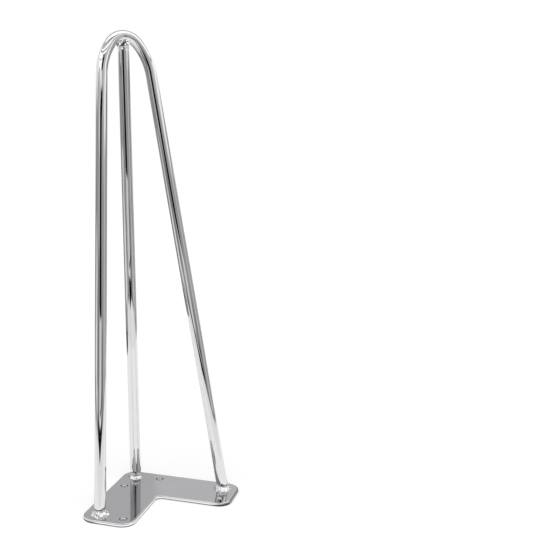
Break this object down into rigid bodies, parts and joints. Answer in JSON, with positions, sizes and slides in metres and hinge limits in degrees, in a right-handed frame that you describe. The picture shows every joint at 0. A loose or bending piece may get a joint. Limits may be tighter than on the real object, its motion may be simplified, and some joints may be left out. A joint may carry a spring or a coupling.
{
  "type": "hairpin table leg",
  "caption": "Table leg of round rods: a bar bent into a hairpin and a straight corner rod, welded upright on an L-shaped screw plate.",
  "frame": {"origin": "on the mounting face, under the foot of the corner rod", "axes": "+Z from the mounting face to the bend, +Y towards the table's corner, +X to the right arm; symmetric about x = 0"},
  "size_m": [0.1456, 0.1095, 0.4059],
  "materials": {
    "rod_chrome": "polished chrome plating on drawn steel bar",
    "plate_chrome": "polished chrome plating on flat steel, a little duller than the rods",
    "weld_chrome": "chrome plating over rippled weld beads"
  },
  "bodies": {
    "root": {"hairpin_rod": "rod_chrome", "corner_rod": "rod_chrome", "mounting_plate": "plate_chrome", "corner_weld": "weld_chrome", "left_weld": "weld_chrome", "right_weld": "weld_chrome", "bend_weld": "weld_chrome"}
  },
  "joints": []
}
